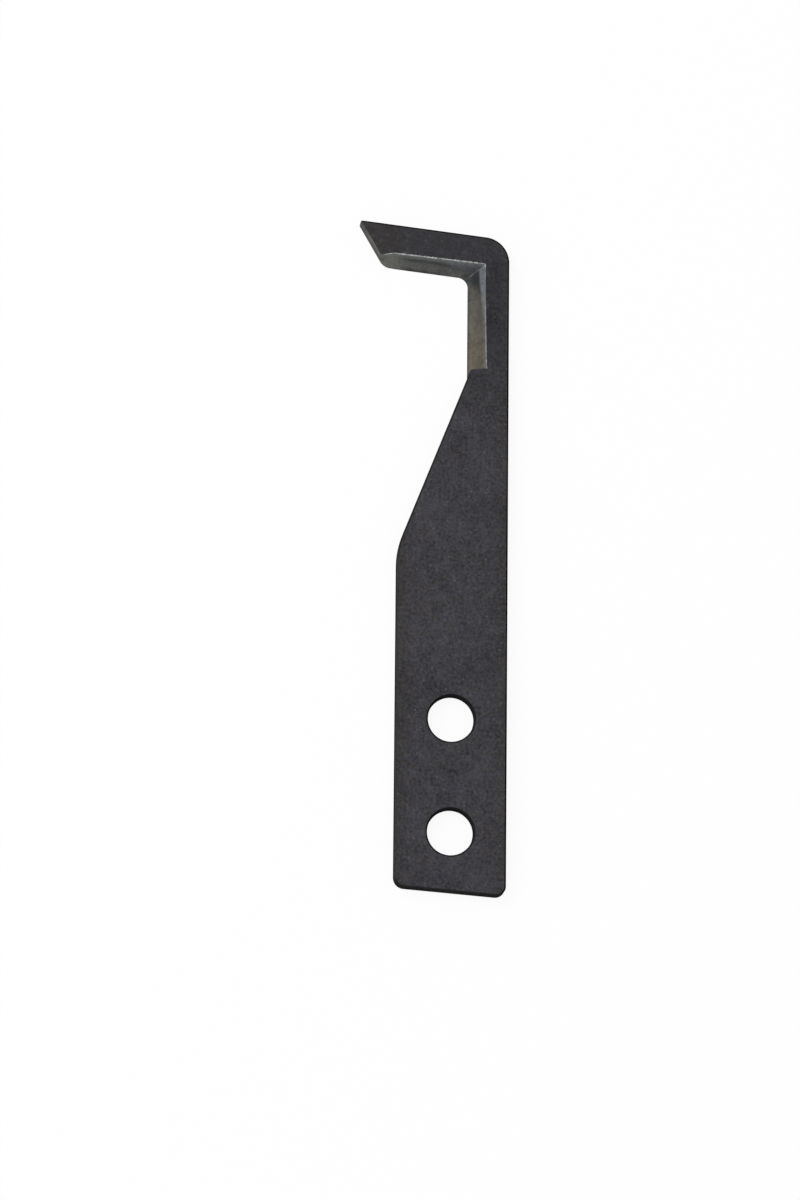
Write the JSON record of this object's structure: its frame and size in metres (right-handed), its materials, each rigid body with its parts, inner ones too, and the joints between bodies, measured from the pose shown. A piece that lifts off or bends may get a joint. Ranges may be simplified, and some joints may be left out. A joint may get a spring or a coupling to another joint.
{
  "type": "hook cutter blade",
  "caption": "Flat steel hook blade: a wide shank with bolt holes tapers to a leg and a raked arm, with a hollow-ground bevel round the inside of the hook.",
  "frame": {"origin": "midway between the bolt holes, on the flat back face", "axes": "+Y along the shank from the butt to the hook, +X across the shank to the straight spine, +Z out of the bevelled face, so the blade lies on its back"},
  "size_m": [0.0258, 0.1173, 0.0025],
  "materials": {
    "black_oxide_steel": "matte black oxide, worn to bare ground steel on the bevel and on the end face of the arm"
  },
  "bodies": {
    "root": {"blade": "black_oxide_steel"}
  },
  "joints": []
}
